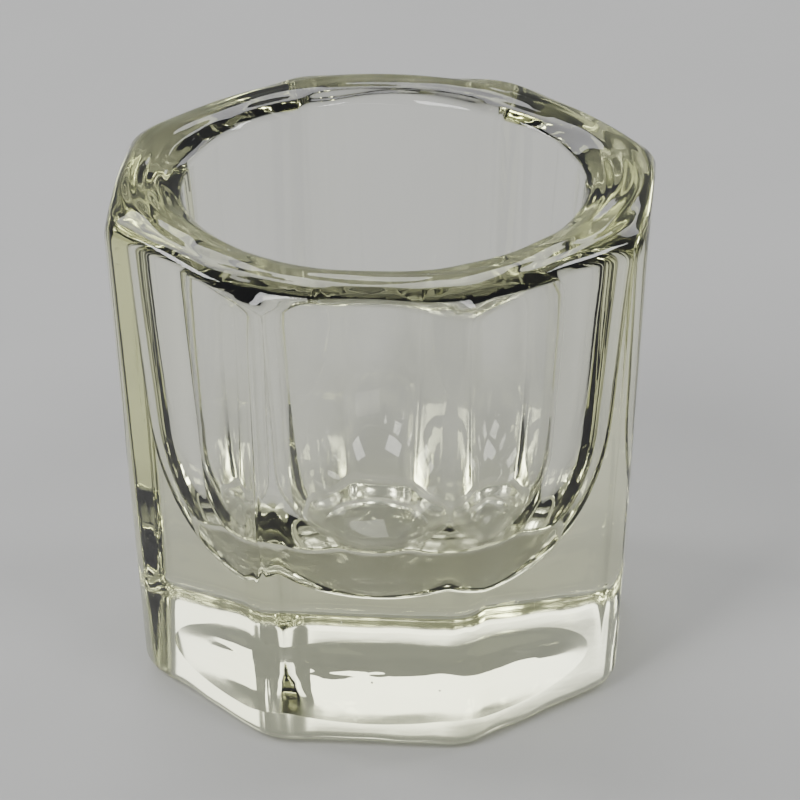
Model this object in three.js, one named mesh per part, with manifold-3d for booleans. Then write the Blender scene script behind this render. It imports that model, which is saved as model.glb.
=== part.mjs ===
// Octagonal pressed-glass dappen dish: the small mixing cup that holds acrylic liquid for nail work.
// Millimetres, +Z up. The origin is on the table, under the middle of the foot.
// One facet faces -Y, so the flats lie square to the X and Y axes.
import * as THREE from 'three';
import { mergeVertices } from 'three/addons/utils/BufferGeometryUtils.js';
import Module from 'manifold-3d';

const wasm = await Module();
wasm.setup();

// ---- driving dimensions ----
const FACETS = 8;
const HEIGHT = 28.4;
const RIM_ACROSS_FLATS = 29.6;
const FOOT_ACROSS_FLATS = 26.4;
const FOOT_EDGE_RADIUS = 0.9;
const RIM_EDGE_RADIUS = 1.4; // outside edge of the fire-polished rim
const CORNER_LOSS = 0.24; // how far the softened upright corners stand inside sharp ones

const WELL_MOUTH_RADIUS = 11;
const WELL_LIP_RADIUS = 1.2; // inside edge of the rim
const WELL_DEPTH = 21.9;
const BOWL_RADIUS = 9.7; // where the well's wall turns into its rounded bottom
const BOWL_HEIGHT = 8.5;
const BOWL_FULLNESS = 2.2; // 2 is an ellipse, more is squarer
const BOWL_FLAT_RADIUS = 2.5; // flat middle of the well's bottom

const DIMPLE_RADIUS = 8.4; // the very shallow hollow in the underside
const DIMPLE_DEPTH = 0.45;

const ROUND_SEGMENTS = 72;
const EDGE_STEPS = 4;
const BOWL_STEPS = 12;
const DIMPLE_STEPS = 8;
const OVERLAP = 1; // how far a cutting body reaches past the face that it opens

// ---- profiles: [radius, height] points for a body turned about Z ----

// Apothem of the octagon at a height: the sides lean in evenly towards the foot.
function apothemAt(z) {
  return THREE.MathUtils.lerp(FOOT_ACROSS_FLATS, RIM_ACROSS_FLATS, z / HEIGHT) / 2;
}

// Points of an arc about (centreRadius, centreZ), both ends included, angles in degrees.
function arcPoints(centreRadius, centreZ, radius, fromDegrees, toDegrees, steps) {
  const points = [];
  for (let i = 0; i <= steps; i++) {
    const angle = THREE.MathUtils.degToRad(THREE.MathUtils.lerp(fromDegrees, toDegrees, i / steps));
    points.push([centreRadius + radius * Math.cos(angle), centreZ + radius * Math.sin(angle)]);
  }
  return points;
}

// Outside of the dish through the middle of a facet: foot edge, leaning side, rim edge.
function facetProfile() {
  const footCentre = apothemAt(FOOT_EDGE_RADIUS) - FOOT_EDGE_RADIUS;
  const rimCentre = apothemAt(HEIGHT - RIM_EDGE_RADIUS) - RIM_EDGE_RADIUS;
  return [
    [0, 0],
    ...arcPoints(footCentre, FOOT_EDGE_RADIUS, FOOT_EDGE_RADIUS, -90, 0, EDGE_STEPS),
    ...arcPoints(rimCentre, HEIGHT - RIM_EDGE_RADIUS, RIM_EDGE_RADIUS, 0, 90, EDGE_STEPS),
    [0, HEIGHT],
  ];
}

// Round envelope that softens the eight upright corners.
function cornerProfile() {
  const sharpCorner = (z) => apothemAt(z) / Math.cos(Math.PI / FACETS);
  return [
    [0, -OVERLAP],
    [sharpCorner(-OVERLAP) - CORNER_LOSS, -OVERLAP],
    [sharpCorner(HEIGHT + OVERLAP) - CORNER_LOSS, HEIGHT + OVERLAP],
    [0, HEIGHT + OVERLAP],
  ];
}

// Hollow of the well: flat middle, bowl, slightly tapering wall, rounded lip, and out past the rim.
function wellProfile() {
  const floorZ = HEIGHT - WELL_DEPTH;
  const bowlTop = floorZ + BOWL_HEIGHT;
  const lipZ = HEIGHT - WELL_LIP_RADIUS;
  const taper = (WELL_MOUTH_RADIUS - BOWL_RADIUS) / (lipZ - bowlTop);
  const power = 2 / BOWL_FULLNESS;
  const bowl = [[0, floorZ]];
  for (let i = 0; i <= BOWL_STEPS; i++) {
    const angle = (Math.PI / 2) * (i / BOWL_STEPS);
    const drop = BOWL_HEIGHT * Math.max(Math.cos(angle), 0) ** power;
    const reach = BOWL_RADIUS - taper * drop - BOWL_FLAT_RADIUS;
    bowl.push([BOWL_FLAT_RADIUS + reach * Math.sin(angle) ** power, bowlTop - drop]);
  }
  const lipCentre = WELL_MOUTH_RADIUS + WELL_LIP_RADIUS;
  const lip = arcPoints(lipCentre, lipZ, WELL_LIP_RADIUS, 180, 90, EDGE_STEPS);
  return [...bowl, ...lip, [lipCentre, HEIGHT + OVERLAP], [0, HEIGHT + OVERLAP]];
}

// Hollow of the dimple: a spherical cap, carried down past the foot.
function dimpleProfile() {
  const sphereRadius = (DIMPLE_RADIUS ** 2 + DIMPLE_DEPTH ** 2) / (2 * DIMPLE_DEPTH);
  const edgeDegrees = THREE.MathUtils.radToDeg(Math.asin(DIMPLE_RADIUS / sphereRadius));
  const cap = arcPoints(0, DIMPLE_DEPTH - sphereRadius, sphereRadius, 90 - edgeDegrees, 90, DIMPLE_STEPS);
  cap[cap.length - 1] = [0, DIMPLE_DEPTH];
  return [[0, -OVERLAP], [DIMPLE_RADIUS, -OVERLAP], ...cap];
}

// ---- solids ----

// Turns a [radius, height] profile about +Z. Eight segments give the octagon: its profile is measured
// through the middle of a facet, so the radii are stretched out to the corners.
function turned(profile, segments) {
  const stretch = segments === FACETS ? 1 / Math.cos(Math.PI / FACETS) : 1;
  const points = profile.map(([radius, z]) => new THREE.Vector2(radius * stretch, z));
  const geometry = new THREE.LatheGeometry(points, segments, Math.PI / segments);
  return geometry.rotateX(Math.PI / 2);
}

function toManifold(geometry) {
  geometry.deleteAttribute('normal');
  geometry.deleteAttribute('uv');
  const merged = mergeVertices(geometry);
  const mesh = new wasm.Mesh({
    numProp: 3,
    vertProperties: new Float32Array(merged.attributes.position.array),
    triVerts: new Uint32Array(merged.index.array),
  });
  return new wasm.Manifold(mesh);
}

function toGeometry(manifold) {
  const mesh = manifold.getMesh();
  const geometry = new THREE.BufferGeometry();
  geometry.setAttribute('position', new THREE.BufferAttribute(mesh.vertProperties, 3));
  geometry.setIndex(new THREE.BufferAttribute(mesh.triVerts, 1));
  geometry.computeVertexNormals();
  return geometry;
}

// The whole dish is one pressing: an octagonal block with a well in the top and a dimple underneath.
function glassDish() {
  const block = toManifold(turned(facetProfile(), FACETS));
  const softCorners = toManifold(turned(cornerProfile(), ROUND_SEGMENTS));
  const well = toManifold(turned(wellProfile(), ROUND_SEGMENTS));
  const dimple = toManifold(turned(dimpleProfile(), ROUND_SEGMENTS));
  const solid = block.intersect(softCorners).subtract(well).subtract(dimple);
  const glass = new THREE.MeshStandardMaterial({ color: 0xdfe4cf, roughness: 0.03, metalness: 0 });
  const mesh = new THREE.Mesh(toGeometry(solid), glass);
  mesh.name = 'glass_dish';
  return mesh;
}

const dish = new THREE.Group();
dish.add(glassDish());

export default dish;
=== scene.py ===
import math
import random

import bmesh
import bpy
import numpy as np
from mathutils import Matrix, Quaternion, Vector, noise

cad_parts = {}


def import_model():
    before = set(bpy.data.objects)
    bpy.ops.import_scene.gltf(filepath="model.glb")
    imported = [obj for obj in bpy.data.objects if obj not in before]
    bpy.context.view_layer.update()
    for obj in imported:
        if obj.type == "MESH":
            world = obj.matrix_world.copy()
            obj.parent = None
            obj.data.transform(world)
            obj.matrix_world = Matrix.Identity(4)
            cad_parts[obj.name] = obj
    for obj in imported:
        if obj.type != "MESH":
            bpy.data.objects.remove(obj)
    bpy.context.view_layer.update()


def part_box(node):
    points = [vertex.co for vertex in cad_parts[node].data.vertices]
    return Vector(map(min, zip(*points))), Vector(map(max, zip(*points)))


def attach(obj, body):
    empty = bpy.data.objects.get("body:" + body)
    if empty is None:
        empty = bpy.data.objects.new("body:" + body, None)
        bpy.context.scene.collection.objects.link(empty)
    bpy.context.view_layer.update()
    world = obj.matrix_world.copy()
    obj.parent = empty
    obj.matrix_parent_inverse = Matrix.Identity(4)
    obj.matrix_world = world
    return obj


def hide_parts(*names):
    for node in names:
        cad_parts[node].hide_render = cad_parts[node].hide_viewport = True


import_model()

# A small octagonal dappen dish in clear pressed glass: one piece, with a deep round well and a thick base.
# Everything is in metres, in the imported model's frame: +Z up, the origin under the middle of the foot.
# Bearings are in degrees round the dish: 0 looks along -Y, towards the camera's side, and 90 along +X.

# ---- sizes ----
low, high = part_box("glass_dish")
HEIGHT = high.z - low.z
RIM_APOTHEM = (high.x - low.x) / 2  # from the axis to the middle of a facet at the rim
FOOT_APOTHEM = 0.0132
FACETS = 8
HALF_FACET = math.pi / FACETS

FOOT_CORNER_RADIUS = 0.0032  # the upright corners are softer at the foot than at the rim
RIM_CORNER_RADIUS = 0.0024
FOOT_EDGE_RADIUS = 0.0010
FOOT_EDGE_WANDER = 0.4  # share by which that radius comes and goes round the dish
FOOT_EDGE_WANDER_SIZE = (0.0032, 0.0032)  # how long its waves are across and upright

CROWN_HEIGHT = 0.0008  # how far the fire-polished rim domes up between its two edges
CROWN_CORNER_DROP = 0.0008  # how much lower its outside edge runs at the corners
CROWN_FULLNESS = 2.4  # 2 is an ellipse, more is squarer
SIDE_HEIGHT = HEIGHT - CROWN_HEIGHT
LEAN = (RIM_APOTHEM - FOOT_APOTHEM) / SIDE_HEIGHT  # how fast the sides spread towards the rim

MOUTH_RADIUS = 0.0110
BOWL_TOP_RADIUS = 0.0097
WELL_DEPTH = 0.0219
BOWL_HEIGHT = 0.0085
BOWL_FULLNESS = 2.2
BOWL_FLAT_RADIUS = 0.0025  # flat middle of the well's bottom

DIMPLE_RADIUS = 0.0084  # the very shallow hollow in the underside
DIMPLE_DEPTH = 0.00045
DIMPLE_LIP_RADIUS = 0.0006

# ---- marks left by the mould and the flame ----
# A wave has a height, and a size: how long it is across and how long it is upright.
OUTSIDE_WAVE = 0.000030
OUTSIDE_WAVE_SIZE = (0.0070, 0.0095)
UNDER_WAVE = 0.000034
UNDER_WAVE_SIZE = (0.0024, 1)  # the underside is so flat that height doesn't count
UNDER_SHIFT = 1.7  # a shift keeps one surface's waves from repeating another's
INSIDE_WAVE = 0.000035
INSIDE_WAVE_SIZE = (0.0050, 0.0110)
INSIDE_SHIFT = 3.1
INSIDE_RIPPLE = 0.000003  # fine upright ripples, stronger close to the mouth
MOUTH_RIPPLE = 0.000040
MOUTH_RIPPLE_DEPTH = 0.0025
RIPPLE_SIZE = (0.0011, 0.0120)
CROWN_STREAK = 0.000090
CROWN_STREAK_SIZE = (0.0035, 0.0006)  # long round the rim and narrow across it
CROWN_FADE = 3  # how steeply the streaks set in at the crown's two edges
RIM_FADE = 0.0020  # the marks outside die out over this height below the crown
SEAM_BEARINGS = (-HALF_FACET, math.pi - HALF_FACET)  # the mould halves' two corners, in radians
SEAM_HEIGHT = 0.000050
SEAM_WIDTH = 0.000120

# ---- seeds: tiny air bubbles in the thick base ----
SEED_DRAW = 11
SEED_COUNT = 5
SEED_BEARINGS = (-80, 80)
SEED_REACHES = (0.0095, 0.0115)  # from the axis
SEED_HEIGHTS = (0.0025, 0.0075)
SEED_RADII = (0.00004, 0.00009)

# ---- mesh resolution ----
FLAT_STEPS = 20  # across the flat part of one facet
CORNER_STEPS = 12  # round one upright corner
DIMPLE_STEPS = 26
LIP_STEPS = 5
FOOT_STEPS = 4
EDGE_STEPS = 8
SIDE_STEPS = 30
CROWN_STEPS = 36
WALL_STEPS = 20
BOWL_STEPS = 30
BOWL_FLAT_STEPS = 4


# ---- outlines seen from above ----

def octagon_ring(apothem, corner_radius, z):
    """One ring of points on an octagon with rounded corners, the middle of a facet looking along -Y."""
    reach = (apothem - corner_radius) * math.tan(HALF_FACET)
    points = [(reach * t, apothem) for t in np.linspace(-1, 1, FLAT_STEPS + 1)]
    for step in range(1, CORNER_STEPS):
        angle = 2 * HALF_FACET * step / CORNER_STEPS
        points.append((
            reach + corner_radius * math.sin(angle),
            apothem - corner_radius + corner_radius * math.cos(angle),
        ))
    local = np.array(points)
    rings = []
    for facet in range(FACETS):
        turn = 2 * HALF_FACET * facet
        x = local[:, 0] * math.cos(turn) + local[:, 1] * math.sin(turn)
        y = local[:, 0] * math.sin(turn) - local[:, 1] * math.cos(turn)
        rings.append(np.column_stack([x, y, np.full(len(x), z)]))
    return np.concatenate(rings)


def round_ring(radius, z):
    """One ring of points on a circle, at the same bearings as the octagon's points."""
    reference = octagon_ring(RIM_APOTHEM, RIM_CORNER_RADIUS, 0)
    across = np.hypot(reference[:, 0], reference[:, 1])
    ring = reference * (radius / across)[:, None]
    ring[:, 2] = z
    return ring


def side_ring(z):
    """The leaning outside of the dish at a height."""
    corner = FOOT_CORNER_RADIUS + (RIM_CORNER_RADIUS - FOOT_CORNER_RADIUS) * z / SIDE_HEIGHT
    return octagon_ring(FOOT_APOTHEM + LEAN * z, corner, z)


def waves(point, size, shift=0.0):
    """Smooth random waves between -1 and 1, with their size across and upright."""
    across, upright = size
    return noise.noise(Vector((point[0] / across + shift, point[1] / across, point[2] / upright)))


# ---- stretches of the section, from under the dish, up the outside and down into the well ----

def dimple_rings():
    """Shallow spherical hollow in the underside, with its small rounded lip."""
    sphere = (DIMPLE_RADIUS ** 2 + DIMPLE_DEPTH ** 2) / (2 * DIMPLE_DEPTH)
    sphere_z = DIMPLE_DEPTH - sphere
    lip = DIMPLE_LIP_RADIUS
    lip_centre = math.sqrt((sphere + lip) ** 2 - (sphere_z - lip) ** 2)
    meet = math.atan2(lip_centre, lip - sphere_z)
    rings = []
    for step in range(1, DIMPLE_STEPS + 1):
        angle = meet * step / DIMPLE_STEPS
        rings.append(round_ring(sphere * math.sin(angle), sphere_z + sphere * math.cos(angle)))
    for step in range(1, LIP_STEPS + 1):
        angle = meet * (1 - step / LIP_STEPS)
        rings.append(round_ring(lip_centre - lip * math.sin(angle), lip - lip * math.cos(angle)))
    return rings


def foot_edge_ring(angle):
    """One ring of the foot's rounded edge, whose radius wanders a little round the dish.

    At angle 0 it is where the flat foot ends, and at a right angle where the leaning side begins.
    """
    ring = side_ring(0)
    wander = np.array([waves(point, FOOT_EDGE_WANDER_SIZE) for point in ring])
    radius = FOOT_EDGE_RADIUS * (1 + FOOT_EDGE_WANDER * wander)
    lift = radius * (1 - math.cos(angle))
    outwards = lift * LEAN - radius * (1 - math.sin(angle))
    ring[:, :2] *= (1 + outwards / np.hypot(ring[:, 0], ring[:, 1]))[:, None]
    ring[:, 2] = lift
    return ring


def foot_rings(inner):
    """Flat ring that the dish stands on, from the dimple's lip to the foot's rounded edge."""
    outer = foot_edge_ring(0)
    return [inner + (outer - inner) * step / FOOT_STEPS for step in range(1, FOOT_STEPS + 1)]


def foot_edge_rings():
    return [foot_edge_ring(math.pi / 2 * step / EDGE_STEPS) for step in range(1, EDGE_STEPS + 1)]


def side_rings():
    """Leaning sides: the rings bend until the last one follows the crown's edge down at the corners."""
    rings = []
    for t in np.linspace(0, 1, SIDE_STEPS + 1)[1:]:
        ring = side_ring(FOOT_EDGE_RADIUS + (SIDE_HEIGHT - FOOT_EDGE_RADIUS) * t)
        reach = np.hypot(ring[:, 0], ring[:, 1])
        towards_corner = (reach - reach.min()) / (reach.max() - reach.min())
        drop = CROWN_CORNER_DROP * t * t * towards_corner
        ring[:, :2] *= (1 - drop * LEAN / reach)[:, None]
        ring[:, 2] -= drop
        rings.append(ring)
    return rings


def crown_rings(outer):
    """Rim: a low dome from the octagon outside to the round mouth inside."""
    inner = round_ring(MOUTH_RADIUS, SIDE_HEIGHT)
    power = 2 / CROWN_FULLNESS
    rings = []
    for step in range(1, CROWN_STEPS + 1):
        angle = math.pi * step / CROWN_STEPS
        across = math.copysign(abs(math.cos(angle)) ** power, math.cos(angle))
        ring = outer + (inner - outer) * (1 - across) / 2
        ring[:, 2] += (HEIGHT - ring[:, 2]) * max(math.sin(angle), 0) ** power
        rings.append(ring)
    return rings


def well_rings():
    """Tapering wall that turns smoothly into the rounded bottom."""
    bowl_z = HEIGHT - WELL_DEPTH + BOWL_HEIGHT
    taper = (MOUTH_RADIUS - BOWL_TOP_RADIUS) / (SIDE_HEIGHT - bowl_z)
    power = 2 / BOWL_FULLNESS
    rings = []
    for z in np.linspace(SIDE_HEIGHT, bowl_z, WALL_STEPS + 1)[1:]:
        rings.append(round_ring(BOWL_TOP_RADIUS + taper * (z - bowl_z), z))
    for step in range(1, BOWL_STEPS + 1):
        angle = math.pi / 2 * step / BOWL_STEPS
        drop = BOWL_HEIGHT * math.sin(angle) ** power
        reach = BOWL_TOP_RADIUS - taper * drop - BOWL_FLAT_RADIUS
        rings.append(round_ring(BOWL_FLAT_RADIUS + reach * max(math.cos(angle), 0) ** power, bowl_z - drop))
    for step in range(1, BOWL_FLAT_STEPS):
        rings.append(round_ring(BOWL_FLAT_RADIUS * (1 - step / BOWL_FLAT_STEPS), bowl_z - BOWL_HEIGHT))
    return rings


# ---- the dish ----

def outside_relief(point):
    """Height that the mould leaves on the outside: gentle waves, and a seam up two opposite corners.

    It fades out round the foot's edge, so that the dish stands flat, and below the fire-polished crown.
    """
    relief = OUTSIDE_WAVE * waves(point, OUTSIDE_WAVE_SIZE)
    bearing = math.atan2(point.x, -point.y)
    for seam in SEAM_BEARINGS:
        aside = math.remainder(bearing - seam, 2 * math.pi) * math.hypot(point.x, point.y)
        relief += SEAM_HEIGHT * math.exp(-(aside / SEAM_WIDTH) ** 2)
    above_foot = point.z / FOOT_EDGE_RADIUS
    below_crown = (SIDE_HEIGHT - CROWN_CORNER_DROP - point.z) / RIM_FADE
    return relief * min(max(min(above_foot, below_crown), 0), 1)


def under_relief(point):
    """Height of the uneven skin of the hollow under the foot, fading out at its edge."""
    return UNDER_WAVE * point.z / DIMPLE_DEPTH * waves(point, UNDER_WAVE_SIZE, UNDER_SHIFT)


def inside_relief(point):
    """Height of the upright waves and finer ripples that the plunger leaves in the well."""
    near_mouth = max(1 - (HEIGHT - point.z) / MOUTH_RIPPLE_DEPTH, 0)
    ripple_height = INSIDE_RIPPLE + (MOUTH_RIPPLE - INSIDE_RIPPLE) * near_mouth
    wave = INSIDE_WAVE * waves(point, INSIDE_WAVE_SIZE, INSIDE_SHIFT)
    return wave + ripple_height * waves(point, RIPPLE_SIZE)


def crown_relief(point):
    """Height of the long streaks that fire polishing leaves round the rim."""
    reach = math.hypot(point.x, point.y)
    on_mouth = (point.x * MOUTH_RADIUS / reach, point.y * MOUTH_RADIUS / reach, reach)
    return CROWN_STREAK * waves(on_mouth, CROWN_STREAK_SIZE)


def raise_skin(vertices, normals, relief, strength=1):
    """Moves points along their normals by a relief function's height."""
    for vertex in vertices:
        vertex.co += normals[vertex.index] * (strength * relief(vertex.co))


def add_seeds(body):
    """Air bubbles: small spheres whose faces look inwards, in the ring of thick glass round the bowl."""
    draw = random.Random(SEED_DRAW)
    for _ in range(SEED_COUNT):
        bearing = math.radians(draw.uniform(*SEED_BEARINGS))
        reach = draw.uniform(*SEED_REACHES)
        z = draw.uniform(*SEED_HEIGHTS)
        radius = draw.uniform(*SEED_RADII)
        place = Matrix.Translation((reach * math.sin(bearing), -reach * math.cos(bearing), z))
        seed = bmesh.ops.create_icosphere(body, subdivisions=2, radius=radius, matrix=place)
        faces = {face for vertex in seed["verts"] for face in vertex.link_faces}
        bmesh.ops.reverse_faces(body, faces=list(faces))


def skin_faces(ring_count, columns):
    """Quads between neighbouring rings, and a fan round each of the two middle points that follow them."""
    faces = []
    for row in range(ring_count - 1):
        for column in range(columns):
            here = row * columns + column
            beside = row * columns + (column + 1) % columns
            faces.append((here, beside, beside + columns, here + columns))
    last = (ring_count - 1) * columns
    dimple_top = ring_count * columns
    well_bottom = dimple_top + 1
    for column in range(columns):
        beside = (column + 1) % columns
        faces.append((dimple_top, beside, column))
        faces.append((well_bottom, last + column, last + beside))
    return faces


def dish_mesh():
    dimple = dimple_rings()
    foot = foot_rings(dimple[-1])
    outside = foot_edge_rings() + side_rings()
    crown = crown_rings(outside[-1])
    well = well_rings()
    rings = dimple + foot + outside + crown + well
    columns = len(rings[0])
    points = np.vstack([*rings, [0, 0, DIMPLE_DEPTH], [0, 0, HEIGHT - WELL_DEPTH]])
    mesh = bpy.data.meshes.new("dappen_dish")
    mesh.from_pydata(points.tolist(), [], skin_faces(len(rings), columns))

    body = bmesh.new()
    body.from_mesh(mesh)
    bmesh.ops.recalc_face_normals(body, faces=body.faces)
    body.normal_update()
    body.verts.ensure_lookup_table()
    normals = [vertex.normal.copy() for vertex in body.verts]
    foot_start = len(dimple) * columns
    outside_start = foot_start + len(foot) * columns
    crown_start = outside_start + len(outside) * columns
    well_start = crown_start + len(crown) * columns
    raise_skin(body.verts[:foot_start], normals, under_relief)
    raise_skin(body.verts[outside_start:crown_start], normals, outside_relief)
    for row in range(len(crown)):
        start = crown_start + row * columns
        fade = min(CROWN_FADE * math.sin(math.pi * (row + 1) / len(crown)), 1)
        raise_skin(body.verts[start:start + columns], normals, crown_relief, fade)
    raise_skin(body.verts[well_start:len(rings) * columns], normals, inside_relief)
    add_seeds(body)
    for face in body.faces:
        face.smooth = True
    body.to_mesh(mesh)
    body.free()
    return mesh


# ---- materials ----
# Noise scales are in cells per metre.
GLASS_IOR = 1.52
GLASS_TINT = (0.90, 0.93, 0.32, 1)
GLASS_TINT_DENSITY = 20
FILM_SCALE = 170
FILM_NOISE = (0.48, 0.72)  # the part of the noise that shows as a film
FILM_ROUGHNESS = (0.004, 0.030)
SCRATCH_FAMILIES = (  # scales along the three axes, then the turn about each in radians
    ((2600, 900, 60), (0.5, 0.3, 0.8)),
    ((90, 2400, 1200), (-0.4, 0.7, 0.2)),
)
SCRATCH_NOISE = (0.735, 0.765)
SCRATCH_ROUGHNESS = 0.15
FOOT_WEAR_HEIGHTS = (0.00005, 0.00030)  # the foot's flat ring is dulled by use
FOOT_WEAR_ROUGHNESS = 0.10
PEEL_SCALE = 420
WRINKLE_SCALES = (120, 120, 1100)
WRINKLE_SHARE = 0.35
BUMP_HEIGHT = 0.000005

BOARD_COLOURS = ((0.42, 0.42, 0.415, 1), (0.46, 0.46, 0.454, 1))
BOARD_MOTTLE_SCALE = 60
BOARD_ROUGHNESS = 0.55


def add_node(tree, kind, **inputs):
    """A new node, with its input sockets set by name."""
    node = tree.nodes.new(kind)
    for name, value in inputs.items():
        node.inputs[name.replace("_", " ")].default_value = value
    return node


def map_range(tree, value, source, target):
    """The value's range moved to another one, clamped at both ends."""
    span = dict(From_Min=source[0], From_Max=source[1], To_Min=target[0], To_Max=target[1])
    node = add_node(tree, "ShaderNodeMapRange", **span)
    tree.links.new(value, node.inputs["Value"])
    return node.outputs["Result"]


def math_node(tree, operation, first, second):
    """Two values combined. The second may be a socket or a plain number."""
    node = tree.nodes.new("ShaderNodeMath")
    node.operation = operation
    tree.links.new(first, node.inputs[0])
    if isinstance(second, (int, float)):
        node.inputs[1].default_value = second
    else:
        tree.links.new(second, node.inputs[1])
    return node.outputs[0]


def noise_value(tree, place, scale, detail, stretch=(1, 1, 1), turn=(0, 0, 0)):
    """Noise over the object's own coordinates, stretched and turned."""
    mapping = add_node(tree, "ShaderNodeMapping", Scale=stretch, Rotation=turn)
    tree.links.new(place, mapping.inputs["Vector"])
    texture = add_node(tree, "ShaderNodeTexNoise", Scale=scale, Detail=detail)
    tree.links.new(mapping.outputs["Vector"], texture.inputs["Vector"])
    return texture.outputs["Fac"]


def new_material(name):
    """A new material, with its node tree, its shader and the object's own coordinates."""
    material = bpy.data.materials.new(name)
    material.use_nodes = True
    tree = material.node_tree
    place = tree.nodes.new("ShaderNodeTexCoord").outputs["Object"]
    return material, tree, tree.nodes["Principled BSDF"], place


def film_roughness(tree, place):
    """Faint film left by wiping."""
    return map_range(tree, noise_value(tree, place, FILM_SCALE, 3), FILM_NOISE, FILM_ROUGHNESS)


def scratch_roughness(tree, place):
    """Two crossing families of hair-fine scratches."""
    families = [noise_value(tree, place, 1, 2, stretch, turn) for stretch, turn in SCRATCH_FAMILIES]
    lines = math_node(tree, "MAXIMUM", *families)
    return math_node(tree, "MULTIPLY", map_range(tree, lines, SCRATCH_NOISE, (0, 1)), SCRATCH_ROUGHNESS)


def foot_roughness(tree, place):
    """Wear on the lowest skin of the foot."""
    split = tree.nodes.new("ShaderNodeSeparateXYZ")
    tree.links.new(place, split.inputs[0])
    return map_range(tree, split.outputs["Z"], FOOT_WEAR_HEIGHTS, (FOOT_WEAR_ROUGHNESS, 0))


def skin_bump(tree, place):
    """Very shallow peel and level wrinkles of chilled glass."""
    peel = noise_value(tree, place, PEEL_SCALE, 2)
    wrinkles = noise_value(tree, place, 1, 2, stretch=WRINKLE_SCALES)
    height = math_node(tree, "ADD", peel, math_node(tree, "MULTIPLY", wrinkles, WRINKLE_SHARE))
    bump = add_node(tree, "ShaderNodeBump", Strength=1.0, Distance=BUMP_HEIGHT)
    tree.links.new(height, bump.inputs["Height"])
    return bump.outputs["Normal"]


def glass_material():
    """Clear soda-lime glass, yellow-green where it is thick, with the marks of pressing, wiping and use."""
    material, tree, shader, place = new_material("pressed_glass")
    shader.inputs["Base Color"].default_value = (1, 1, 1, 1)
    shader.inputs["Transmission Weight"].default_value = 1
    shader.inputs["IOR"].default_value = GLASS_IOR
    roughness = math_node(tree, "ADD", film_roughness(tree, place), foot_roughness(tree, place))
    roughness = math_node(tree, "ADD", roughness, scratch_roughness(tree, place))
    tree.links.new(roughness, shader.inputs["Roughness"])
    tree.links.new(skin_bump(tree, place), shader.inputs["Normal"])
    tint = add_node(tree, "ShaderNodeVolumeAbsorption", Color=GLASS_TINT, Density=GLASS_TINT_DENSITY)
    tree.links.new(tint.outputs["Volume"], tree.nodes["Material Output"].inputs["Volume"])
    return material


def board_material():
    """Plain pale matt board with a very faint mottle."""
    material, tree, shader, place = new_material("pale_board")
    ramp = tree.nodes.new("ShaderNodeValToRGB")
    for element, colour in zip(ramp.color_ramp.elements, BOARD_COLOURS):
        element.color = colour
    tree.links.new(noise_value(tree, place, BOARD_MOTTLE_SCALE, 5), ramp.inputs["Fac"])
    tree.links.new(ramp.outputs["Color"], shader.inputs["Base Color"])
    shader.inputs["Roughness"].default_value = BOARD_ROUGHNESS
    return material


def glass_dish():
    dish = bpy.data.objects.new("dappen_dish", dish_mesh())
    bpy.context.scene.collection.objects.link(dish)
    dish.data.materials.append(glass_material())
    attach(dish, "root")
    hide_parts("glass_dish")


# ---- studio ----
FLOOR_REACH = 3.0  # from the dish to the middle of each edge
FLOOR_GAP = 0.00005  # the foot stands this far above the floor, so that the two faces never coincide
SKY_COLOUR = (0.95, 0.97, 1.0, 1)
SKY_STRENGTH = 0.32

SOFT_BOXES = (
    # name, bearing, elevation, distance, width, height, radiance
    ("key", -36, 46, 0.8, 0.24, 0.38, 13),  # the well's left highlights
    ("left", -101, 34, 0.8, 0.20, 0.20, 15),  # the rim's front left edge
    ("right", 112, 45, 0.8, 0.14, 0.16, 14),  # a spot on the well's far wall
    ("window", 203, 40, 0.8, 0.62, 0.28, 3.6),  # the bright front and right of the base
    ("back_right", 153, 32, 0.8, 0.24, 0.26, 3),  # the bright left of the base
    ("over_right", 44, 56, 0.8, 0.16, 0.26, 11),  # the well's right highlights
    ("front_fill", 12, 25, 0.9, 0.60, 0.22, 1.4),  # soft light on the front of the rim
)

CAMERA_BEARING = 5.1
CAMERA_ELEVATION = 27.2
CAMERA_ROLL = -0.37
CAMERA_DISTANCE = 0.290
CAMERA_TARGET_ASIDE = 0.00082  # to the right of the axis, as the camera sees it
CAMERA_TARGET_HEIGHT = 0.01469
CAMERA_CLIP_START = 0.01
SENSOR_WIDTH = 36  # this and the focal length are in millimetres
FOCAL_LENGTH = 234.2


def direction(bearing, elevation):
    """Unit vector away from the dish towards a bearing and an elevation in degrees."""
    bearing = math.radians(bearing)
    elevation = math.radians(elevation)
    level = math.cos(elevation)
    return Vector((math.sin(bearing) * level, -math.cos(bearing) * level, math.sin(elevation)))


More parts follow.
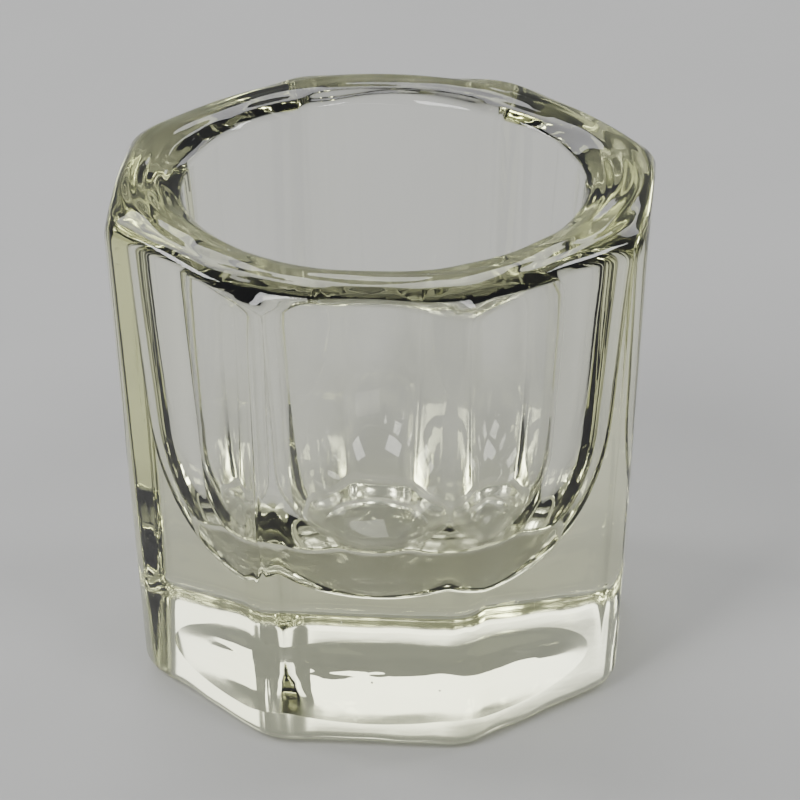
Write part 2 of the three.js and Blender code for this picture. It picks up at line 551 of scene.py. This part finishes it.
def floor():
    mesh = bpy.data.meshes.new("floor")
    corners = [(x * FLOOR_REACH, y * FLOOR_REACH, 0) for x, y in ((-1, -1), (1, -1), (1, 1), (-1, 1))]
    mesh.from_pydata(corners, [], [(0, 1, 2, 3)])
    mesh.materials.append(board_material())
    plane = bpy.data.objects.new("floor", mesh)
    plane.location.z = -FLOOR_GAP
    bpy.context.scene.collection.objects.link(plane)


def world():
    sky = bpy.data.worlds.new("studio")
    sky.use_nodes = True
    background = sky.node_tree.nodes["Background"]
    background.inputs["Color"].default_value = SKY_COLOUR
    background.inputs["Strength"].default_value = SKY_STRENGTH
    bpy.context.scene.world = sky


def soft_box(name, bearing, elevation, distance, width, height, radiance):
    """A rectangular soft box looking at the dish."""
    light = bpy.data.lights.new(name, "AREA")
    light.shape = "RECTANGLE"
    light.size = width
    light.size_y = height
    light.energy = radiance * math.pi * width * height
    lamp = bpy.data.objects.new(name, light)
    bpy.context.scene.collection.objects.link(lamp)
    away = direction(bearing, elevation)
    lamp.location = Vector((0, 0, HEIGHT / 2)) + away * distance
    lamp.rotation_euler = (-away).to_track_quat("-Z", "Y").to_euler()
    lamp.visible_camera = False


def camera():
    """A long lens from the front, a little to the right and looking down on the table."""
    lens = bpy.data.cameras.new("camera")
    lens.sensor_width = SENSOR_WIDTH
    lens.lens = FOCAL_LENGTH
    lens.clip_start = CAMERA_CLIP_START
    view = bpy.data.objects.new("camera", lens)
    bpy.context.scene.collection.objects.link(view)
    away = direction(CAMERA_BEARING, CAMERA_ELEVATION)
    right = direction(CAMERA_BEARING + 90, 0)
    target = right * CAMERA_TARGET_ASIDE + Vector((0, 0, CAMERA_TARGET_HEIGHT))
    roll = Quaternion((0, 0, 1), math.radians(CAMERA_ROLL))
    view.location = target + away * CAMERA_DISTANCE
    view.rotation_mode = "QUATERNION"
    view.rotation_quaternion = (-away).to_track_quat("-Z", "Y") @ roll
    bpy.context.scene.camera = view


glass_dish()
floor()
world()
for box in SOFT_BOXES:
    soft_box(*box)
camera()
